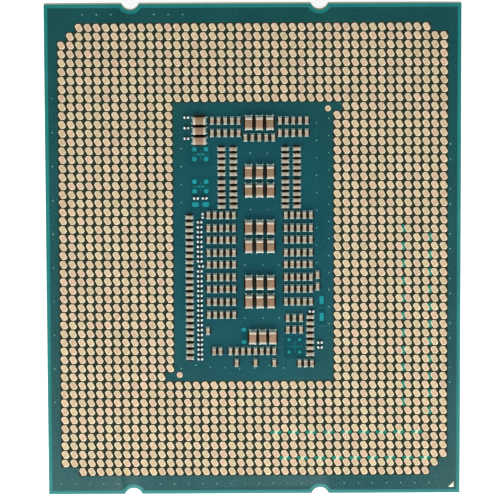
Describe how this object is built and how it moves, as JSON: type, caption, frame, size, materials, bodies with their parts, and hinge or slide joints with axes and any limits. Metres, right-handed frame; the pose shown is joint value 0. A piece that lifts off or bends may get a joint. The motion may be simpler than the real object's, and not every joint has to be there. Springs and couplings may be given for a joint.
{
  "type": "desktop processor package",
  "caption": "Land-grid-array processor: metal lid, laminate substrate, gold contact lands around a window of chip capacitors, and key notches on the short edges.",
  "frame": {"origin": "middle of the lid's outer face, which the package lies on", "axes": "+Z from the lid to the contact lands; +Y along the package's length, away from the end with the pin-one triangle; +X across its width, towards the side with that triangle"},
  "size_m": [0.0376, 0.045, 0.005],
  "materials": {
    "core_laminate": "glass-epoxy laminate, cut edge",
    "copper": "copper foil and plating",
    "buildup_laminate": "build-up resin, cut edge",
    "solder_mask": "teal-green solder mask, satin",
    "land_gold": "pale gold plating over nickel",
    "masked_pad": "copper pad under the solder mask",
    "silicon": "ground silicon",
    "solder": "bright solder",
    "underfill_resin": "filled epoxy",
    "thermal_metal": "soft solder, dull",
    "nickel_plate": "satin nickel plate over copper",
    "sealant": "silicone bead",
    "capacitor_ceramic": "fired ceramic, light brown",
    "dark_ceramic": "fired ceramic, dark",
    "tin_plate": "matte tin plate"
  },
  "bodies": {
    "root": {"substrate_core": "core_laminate", "core_vias": "copper", "land_side_copper_plane": "copper", "die_side_copper_plane": "copper", "land_side_buildup": "buildup_laminate", "die_side_buildup": "buildup_laminate", "land_side_solder_mask": "solder_mask", "die_side_solder_mask": "solder_mask", "lands_upper_block": "land_gold", "lands_lower_block": "land_gold", "lands_left_block": "land_gold", "lands_right_block": "land_gold", "fiducial_marks": "land_gold", "pin_one_mark_land_side": "land_gold", "pin_one_mark_die_side": "land_gold", "spare_component_pads": "masked_pad", "silicon_die": "silicon", "die_bumps": "solder", "die_underfill": "underfill_resin", "thermal_solder": "thermal_metal", "heat_spreader": "nickel_plate", "lid_sealant": "sealant", "large_capacitor_bodies": "capacitor_ceramic", "large_capacitor_end_caps": "tin_plate", "large_capacitor_solder": "solder", "small_capacitor_bodies": "capacitor_ceramic", "small_capacitor_end_caps": "tin_plate", "small_capacitor_solder": "solder", "tiny_capacitor_bodies": "dark_ceramic", "tiny_capacitor_end_caps": "tin_plate", "tiny_capacitor_solder": "solder"}
  },
  "joints": []
}
